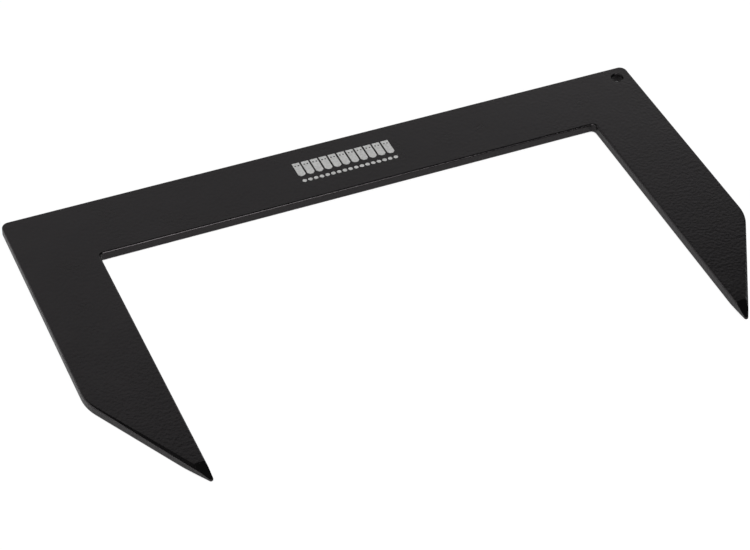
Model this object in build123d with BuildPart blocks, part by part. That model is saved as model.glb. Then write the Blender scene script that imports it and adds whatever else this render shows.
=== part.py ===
from build123d import *
import os
from math import cos, radians, sin, tan

# A slater's bench iron: one U-shaped steel plate with a broad spine and two legs that end in
# points. The points are driven into a wooden bench, and slates are dressed over the long
# straight back edge of the spine. It is cut from one plate and has no moving parts.
#
# The iron lies flat. +X runs along the spine towards the end with the hanging hole, +Y points
# from the legs to the back edge, and +Z is up through the thickness. The origin is the middle
# of the underside of the box that holds the iron. All lengths are in millimetres.

# Plate
overall_length = 430.0
overall_depth = 235.5
bar_width = 46.9  # the spine and both legs are equally wide
plate_thickness = 6.5
point_angle = 30.0  # between a leg's inner edge and its slanted outer edge, in degrees

# Corners seen from above
back_corner_radius = 4.8
knee_radius = 28.0  # where the outer edge of a leg turns in towards the point
inner_corner_radius = 2.5
point_radius = 1.25

# Rounding of the long edges, and of the edges between the ground faces
edge_radius = 1.2
ground_edge_radius = 0.3

# Ground faces: each point is a blunt chisel, and each slanted edge has a tapering bevel on top
top_facet_length = 12.5
bottom_facet_length = 22.0
point_thickness = 1.2
bevel_slope = 40.0  # below the horizontal, in degrees
bevel_width_at_knee = 0.7
bevel_width_at_point = 2.0

# A face is ground if it leans: the Z of its normal lies between an upright and a level face's
upright_face_z = 0.1
level_face_z = 0.999

# Hanging hole, near the corner of the back edge and the +X end
hole_diameter = 8.0
hole_inset = 10.0
hole_edge_radius = 0.5

# Printed mark in pale ink: a course of roofing slates over a row of dashes
ink_thickness = 0.05
mark_centre_x = 3.0
course_from_back = 19.4
slate_count = 11
slate_width = 4.9
slate_gap = 1.2
slate_length = 12.4
slate_clip = 1.4
nail_hole_radius = 0.55
nail_hole_spacing = 2.2
nail_hole_from_head = 2.6
dashes_from_back = 30.2
dash_count = 17
dash_length = 2.9
dash_gap = 1.0
dash_height = 2.5

# Lines that the outline is drawn between
back_y = overall_depth / 2
point_y = -overall_depth / 2
end_x = overall_length / 2
leg_inner_x = end_x - bar_width
spine_inner_y = back_y - bar_width
point_trim = point_radius / tan(radians(point_angle / 2)) - point_radius
sharp_point_y = point_y - point_trim
knee_y = sharp_point_y + bar_width / tan(radians(point_angle))

os.makedirs("parts", exist_ok=True)


def bevel_plane(side):
    """The plane that grinds the top of one slanted edge; side is 1 at +X and -1 at -X.

    Its normal points away from the metal that stays. The bevel widens along the edge, so the
    plane meets the top face in a line that leans away from the edge towards the point.
    """
    outward = Vector(side * cos(radians(point_angle)), -sin(radians(point_angle)), 0)
    knee = Vector(side * end_x, knee_y, plate_thickness) - outward * bevel_width_at_knee
    point = Vector(side * leg_inner_x, sharp_point_y, plate_thickness)
    point -= outward * bevel_width_at_point
    edge_line = (point - knee).normalized()
    tilted = outward * sin(radians(bevel_slope)) + Vector(0, 0, cos(radians(bevel_slope)))
    normal = tilted - edge_line * tilted.dot(edge_line)
    return Plane(origin=knee, x_dir=edge_line, z_dir=normal)


# The plate, with its ground points and its hanging hole

with BuildPart() as plate:
    with BuildSketch():
        with BuildLine():
            FilletPolyline(
                (-end_x, back_y),
                (end_x, back_y),
                (end_x, knee_y),
                (leg_inner_x, sharp_point_y),
                (leg_inner_x, spine_inner_y),
                (-leg_inner_x, spine_inner_y),
                (-leg_inner_x, sharp_point_y),
                (-end_x, knee_y),
                radius=[
                    back_corner_radius,
                    back_corner_radius,
                    knee_radius,
                    point_radius,
                    inner_corner_radius,
                    inner_corner_radius,
                    point_radius,
                    knee_radius,
                ],
                close=True,
            )
        make_face()
    extrude(amount=plate_thickness)
    fillet(plate.faces().filter_by(Axis.Z).edges(), edge_radius)

    # Both points are ground thin from above and from below, and both slanted edges bevelled
    facet_drop = (plate_thickness - point_thickness) / 2
    top_facet = Plane(
        origin=(0, point_y + top_facet_length, plate_thickness),
        x_dir=(1, 0, 0),
        z_dir=(0, -facet_drop, top_facet_length),
    )
    bottom_facet = Plane(
        origin=(0, point_y + bottom_facet_length, 0),
        x_dir=(1, 0, 0),
        z_dir=(0, -facet_drop, -bottom_facet_length),
    )
    for ground_plane in (top_facet, bottom_facet, bevel_plane(1), bevel_plane(-1)):
        split(bisect_by=ground_plane, keep=Keep.BOTTOM)
    flat_faces = plate.faces().filter_by(GeomType.PLANE)
    ground_faces = flat_faces.filter_by(
        lambda face: upright_face_z < abs(face.normal_at().Z) < level_face_z
    )
    fillet(ground_faces.edges(), ground_edge_radius)

    with Locations((end_x - hole_inset, back_y - hole_inset, plate_thickness)):
        Hole(radius=hole_diameter / 2)
    fillet(plate.edges(Select.LAST).filter_by(GeomType.CIRCLE), hole_edge_radius)

plate.part.label = "bench_iron_plate"
export_step(plate.part, "parts/bench_iron_plate.step")


# The printed mark: slates hanging side by side, clipped at their lower corners and pierced by
# two nail holes near their heads

with BuildPart() as slate_course:
    course_y = back_y - course_from_back
    with BuildSketch(Plane.XY.offset(plate_thickness)) as slates:
        with Locations((mark_centre_x, course_y)):
            with GridLocations(slate_width + slate_gap, 0, slate_count, 1):
                Rectangle(slate_width, slate_length)
        chamfer(slates.vertices().group_by(Axis.Y)[0], slate_clip)
        nail_y = course_y + slate_length / 2 - nail_hole_from_head
        with Locations((mark_centre_x, nail_y)):
            with GridLocations(slate_width + slate_gap, 0, slate_count, 1):
                with GridLocations(nail_hole_spacing, 0, 2, 1):
                    Circle(nail_hole_radius, mode=Mode.SUBTRACT)
    extrude(amount=ink_thickness)
slate_course.part.label = "printed_slate_course"
export_step(slate_course.part, "parts/printed_slate_course.step")


# The row of dashes printed under the slates

with BuildPart() as dash_row:
    with BuildSketch(Plane.XY.offset(plate_thickness)):
        with Locations((mark_centre_x, back_y - dashes_from_back)):
            with GridLocations(dash_length + dash_gap, 0, dash_count, 1):
                SlotOverall(dash_length, dash_height)
    extrude(amount=ink_thickness)
dash_row.part.label = "printed_dash_row"
export_step(dash_row.part, "parts/printed_dash_row.step")
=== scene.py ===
from math import cos, pi, radians, sin

import bpy
from mathutils import Matrix, Vector


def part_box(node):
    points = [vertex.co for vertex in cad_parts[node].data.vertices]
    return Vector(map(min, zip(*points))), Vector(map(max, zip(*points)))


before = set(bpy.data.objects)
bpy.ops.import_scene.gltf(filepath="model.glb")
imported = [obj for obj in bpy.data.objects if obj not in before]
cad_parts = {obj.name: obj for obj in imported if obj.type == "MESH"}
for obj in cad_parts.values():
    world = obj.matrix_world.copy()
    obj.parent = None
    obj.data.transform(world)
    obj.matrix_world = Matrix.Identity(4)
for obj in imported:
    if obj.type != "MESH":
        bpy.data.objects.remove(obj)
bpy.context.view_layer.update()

# A slater's bench iron: one flat U-shaped steel plate in black powder coat, with a small printed
# mark on its spine. It lies on a pale table. The plate and the mark keep their CAD shapes, so
# this script gives them their materials and builds the studio around them.

PLATE = "bench_iron_plate"
MARKS = ("printed_slate_course", "printed_dash_row")

scene = bpy.context.scene
scene.view_settings.view_transform = "Standard"

# ---------------------------------------------------------------- sizes and places
TOP_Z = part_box(PLATE)[1].z
MM = 0.001
WHITE = (1, 1, 1, 1)

# The camera's azimuth is measured to the right of +Y, and it looks down by its elevation
CAMERA_AZIMUTH = 26.75
CAMERA_ELEVATION = 43.65
CAMERA_ROLL = 3.67
CAMERA_DISTANCE = 1.3097
CAMERA_LENS = 105.64
CAMERA_SENSOR = 36.0
AIM = Vector((-0.0223, -0.0060, TOP_Z))

TABLE_SIZE = 8.0
TABLE_DROP = 0.2 * MM  # the table is this far under the plate, so that the two never flicker
SKY_STRENGTH = 0.03

# ---------------------------------------------------------------- looks
# Powder coat: a deep black in slightly uneven patches, with orange peel and a fine grain.
# The marks of the cut show through it on the sides of the plate.
COAT_DARK = (0.0018, 0.0017, 0.0019)
COAT_PALE = (0.0032, 0.0031, 0.0033)
COAT_TINT = (1.0, 0.925, 0.96, 1)
COAT_SMOOTH = 0.2
COAT_ROUGH = 0.28
PATCH_FADE = (0.35, 0.65)  # the part of the noise over which one patch fades into the next
PATCH_SIZE = 70 * MM
SMEAR_SIZE = 18 * MM
PEEL_SIZE = 2.1 * MM
PEEL_DEPTH = 0.1 * MM
GRAIN_SIZE = 0.45 * MM
GRAIN_DEPTH = 0.006 * MM
CUT_SIZE = 1.1 * MM
CUT_STRETCH = 0.12  # below 1 draws the cut marks out along the thickness of the plate
CUT_DEPTH = 0.16 * MM
SIDE_LEAN = (0.02, 0.36)  # squared Z of the normal, between a side and a face with no cut marks
NOISE_SPAN = (0.3, 0.7)  # nearly all of a noise texture's values lie between these

# Pad-printed ink: matt, and a little thin in places, where it is smoother too
INK_THIN = (0.62, 0.62, 0.61)
INK_FULL = (0.8, 0.8, 0.79)
INK_SMOOTH = 0.5
INK_ROUGH = 0.65
INK_CLOUD_SIZE = 1.4 * MM
INK_GRAIN_SIZE = 0.4 * MM
INK_GRAIN_DEPTH = 0.01 * MM

# Table: it lights the plate from below as a grey card would, and the camera sees it as white,
# with painted shade where walls are near
TABLE_COLOR = (0.8, 0.8, 0.8, 1)
TABLE_ROUGHNESS = 0.6
TABLE_GLOW = 0.11
TABLE_WHITE = 1.1
TABLE_WHITE_SHARE = 0.85
PAINTED_SHADE_REACH = 12 * MM  # painted shade: walls this close darken the table, as inside the hanging hole
PAINTED_SHADE_FADE = (0.08, 0.28)  # painted shade: the table is dark below the first openness and white above the second


# ---------------------------------------------------------------- studio
def look_direction(azimuth, elevation):
    """Unit vector that points azimuth degrees right of +Y and elevation degrees up."""
    a, e = radians(azimuth), radians(elevation)
    return Vector((sin(a) * cos(e), cos(a) * cos(e), sin(e)))


def aimed(obj, place, towards, roll=0.0):
    """Puts obj at place, with its -Z axis at towards and its X axis level before the roll."""
    turn = (towards - place).to_track_quat("-Z", "Y").to_matrix().to_4x4()
    obj.matrix_world = Matrix.Translation(place) @ turn @ Matrix.Rotation(radians(roll), 4, "Z")
    scene.collection.objects.link(obj)
    return obj


def add_camera():
    data = bpy.data.cameras.new("camera")
    data.lens = CAMERA_LENS
    data.sensor_width = CAMERA_SENSOR
    place = AIM - look_direction(CAMERA_AZIMUTH, -CAMERA_ELEVATION) * CAMERA_DISTANCE
    scene.camera = aimed(bpy.data.objects.new("camera", data), place, AIM, CAMERA_ROLL)


def softbox(name, azimuth, elevation, distance, width, height, radiance, roll=0.0):
    """A rectangular light that faces the object; radiance 1 reads as plain white in a mirror."""
    data = bpy.data.lights.new(name, "AREA")
    data.shape = "RECTANGLE"
    data.size = width
    data.size_y = height
    data.energy = radiance * pi * width * height
    place = look_direction(azimuth, elevation) * distance
    return aimed(bpy.data.objects.new(name, data), place, Vector((0, 0, 0)), roll)


def add_lights():
    # The wide wall behind is what the flat top mirrors, and its roll fades the right leg
    softbox("back_wall", 5, 29.8, 3.0, 6.0, 2.7, 0.475, 15)
    softbox("back_right", 44, 24, 2.6, 1.5, 0.9, 0.2)
    # Low lights on the left for the sides that face left and for the table beside them
    softbox("left_strip", -108, 12, 2.5, 2.2, 0.7, 2.5)
    softbox("left_low", -62, 10, 2.5, 1.6, 0.7, 1.8)
    # The front light draws the bright line along the inner edge of the spine
    softbox("front_box", 168, 42, 2.5, 1.1, 1.5, 5.8)
    # No visible face mirrors the key, which only lights the ink and the table
    softbox("top_key", -150, 62, 2.5, 0.8, 0.8, 6)


def add_sky():
    world = bpy.data.worlds.new("studio")
    scene.world = world
    world.use_nodes = True
    background = world.node_tree.nodes["Background"]
    background.inputs["Color"].default_value = WHITE
    background.inputs["Strength"].default_value = SKY_STRENGTH


def add_table(mat):
    bpy.ops.mesh.primitive_plane_add(size=TABLE_SIZE, location=(0, 0, -TABLE_DROP))
    table = bpy.context.object
    table.name = "studio_floor"
    table.data.materials.append(mat)


# ---------------------------------------------------------------- material helpers
def principled(name):
    mat = bpy.data.materials.new(name)
    mat.use_nodes = True
    return mat, mat.node_tree.nodes, mat.node_tree.links, mat.node_tree.nodes["Principled BSDF"]


def noise_of(nodes, links, place, wave, detail=2.0):
    """A noise texture read at place, with waves about this many metres long."""
    noise = nodes.new("ShaderNodeTexNoise")
    noise.inputs["Scale"].default_value = 1 / wave
    noise.inputs["Detail"].default_value = detail
    links.new(place, noise.inputs["Vector"])
    return noise.outputs["Fac"]


def ranged(nodes, links, value, span, to_low, to_high):
    """Maps value from the span to to_low..to_high, and holds it there outside the span."""
    remap = nodes.new("ShaderNodeMapRange")
    limits = {"From Min": span[0], "From Max": span[1], "To Min": to_low, "To Max": to_high}
    for key, limit in limits.items():
        remap.inputs[key].default_value = limit
    links.new(value, remap.inputs["Value"])
    return remap.outputs["Result"]


def product(nodes, links, first, second):
    times = nodes.new("ShaderNodeMath")
    times.operation = "MULTIPLY"
    links.new(first, times.inputs[0])
    links.new(second, times.inputs[1])
    return times.outputs[0]


def mixed(nodes, links, share, first, second):
    """Colour first where share is 0 and colour second where it is 1."""
    mix = nodes.new("ShaderNodeMix")
    mix.data_type = "RGBA"
    mix.inputs["A"].default_value = (*first, 1)
    mix.inputs["B"].default_value = (*second, 1)
    links.new(share, mix.inputs["Factor"])
    return mix.outputs["Result"]


def bumped(nodes, links, height, depth, under=None):
    """The normal of a surface raised by height times depth, on top of the normal under it."""
    bump = nodes.new("ShaderNodeBump")
    bump.inputs["Strength"].default_value = 1.0
    bump.inputs["Distance"].default_value = depth
    links.new(height, bump.inputs["Height"])
    if under is not None:
        links.new(under, bump.inputs["Normal"])
    return bump.outputs["Normal"]


def side_mask(nodes, links):
    """1 on the upright sides of the plate, and 0 on its flat faces."""
    geometry = nodes.new("ShaderNodeNewGeometry")
    split = nodes.new("ShaderNodeSeparateXYZ")
    links.new(geometry.outputs["True Normal"], split.inputs[0])
    square = product(nodes, links, split.outputs["Z"], split.outputs["Z"])
    return ranged(nodes, links, square, SIDE_LEAN, 1.0, 0.0)


# ---------------------------------------------------------------- materials
def table_material():
    mat, nodes, links, shader = principled("studio_table")
    shader.inputs["Base Color"].default_value = TABLE_COLOR
    shader.inputs["Roughness"].default_value = TABLE_ROUGHNESS
    shader.inputs["Specular IOR Level"].default_value = 0.0
    shader.inputs["Emission Color"].default_value = WHITE
    shader.inputs["Emission Strength"].default_value = TABLE_GLOW
    glow = nodes.new("ShaderNodeEmission")
    glow.inputs["Strength"].default_value = TABLE_WHITE
    # Painted shade: an occlusion test takes the white off the table where walls are near, as
    # inside the hanging hole
    nook = nodes.new("ShaderNodeAmbientOcclusion")
    nook.inputs["Distance"].default_value = PAINTED_SHADE_REACH
    whiteness = ranged(nodes, links, nook.outputs["AO"], PAINTED_SHADE_FADE, 0.0, TABLE_WHITE_SHARE)
    ray = nodes.new("ShaderNodeLightPath")
    share = product(nodes, links, ray.outputs["Is Camera Ray"], whiteness)
    mix = nodes.new("ShaderNodeMixShader")
    links.new(share, mix.inputs[0])
    links.new(shader.outputs[0], mix.inputs[1])
    links.new(glow.outputs[0], mix.inputs[2])
    links.new(mix.outputs[0], nodes["Material Output"].inputs["Surface"])
    return mat


def coat_material():
    """Black powder coat: uneven patches, orange peel, fine grain, and cut marks on the sides."""
    mat, nodes, links, shader = principled("black_powder_coat")
    shader.inputs["Specular Tint"].default_value = COAT_TINT
    place = nodes.new("ShaderNodeTexCoord").outputs["Object"]

    patches = noise_of(nodes, links, place, PATCH_SIZE, 3.0)
    shade = ranged(nodes, links, patches, PATCH_FADE, 0.0, 1.0)
    links.new(mixed(nodes, links, shade, COAT_DARK, COAT_PALE), shader.inputs["Base Color"])
    smears = noise_of(nodes, links, place, SMEAR_SIZE, 3.0)
    roughness = ranged(nodes, links, smears, NOISE_SPAN, COAT_SMOOTH, COAT_ROUGH)
    links.new(roughness, shader.inputs["Roughness"])

    stretch = nodes.new("ShaderNodeMapping")
    stretch.inputs["Scale"].default_value = (1.0, 1.0, CUT_STRETCH)
    links.new(place, stretch.inputs["Vector"])
    streaks = noise_of(nodes, links, stretch.outputs[0], CUT_SIZE)
    cut_marks = product(nodes, links, streaks, side_mask(nodes, links))
    peel = noise_of(nodes, links, place, PEEL_SIZE, 1.0)
    grain = noise_of(nodes, links, place, GRAIN_SIZE)
    normal = bumped(nodes, links, peel, PEEL_DEPTH)
    normal = bumped(nodes, links, grain, GRAIN_DEPTH, normal)
    normal = bumped(nodes, links, cut_marks, CUT_DEPTH, normal)
    links.new(normal, shader.inputs["Normal"])
    return mat


def ink_material():
    """Matt pad-printed ink, a little thin in places and faintly grained."""
    mat, nodes, links, shader = principled("pale_ink")
    place = nodes.new("ShaderNodeTexCoord").outputs["Object"]
    clouds = noise_of(nodes, links, place, INK_CLOUD_SIZE, 3.0)
    cover = ranged(nodes, links, clouds, NOISE_SPAN, 0.0, 1.0)
    links.new(mixed(nodes, links, cover, INK_THIN, INK_FULL), shader.inputs["Base Color"])
    roughness = ranged(nodes, links, clouds, NOISE_SPAN, INK_SMOOTH, INK_ROUGH)
    links.new(roughness, shader.inputs["Roughness"])
    grain = noise_of(nodes, links, place, INK_GRAIN_SIZE)
    links.new(bumped(nodes, links, grain, INK_GRAIN_DEPTH), shader.inputs["Normal"])
    return mat


def paint(obj, mat):
    obj.data.materials.clear()
    obj.data.materials.append(mat)


# ---------------------------------------------------------------- scene
add_camera()
add_table(table_material())
add_sky()
add_lights()

paint(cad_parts[PLATE], coat_material())
ink = ink_material()
for mark in MARKS:
    paint(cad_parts[mark], ink)
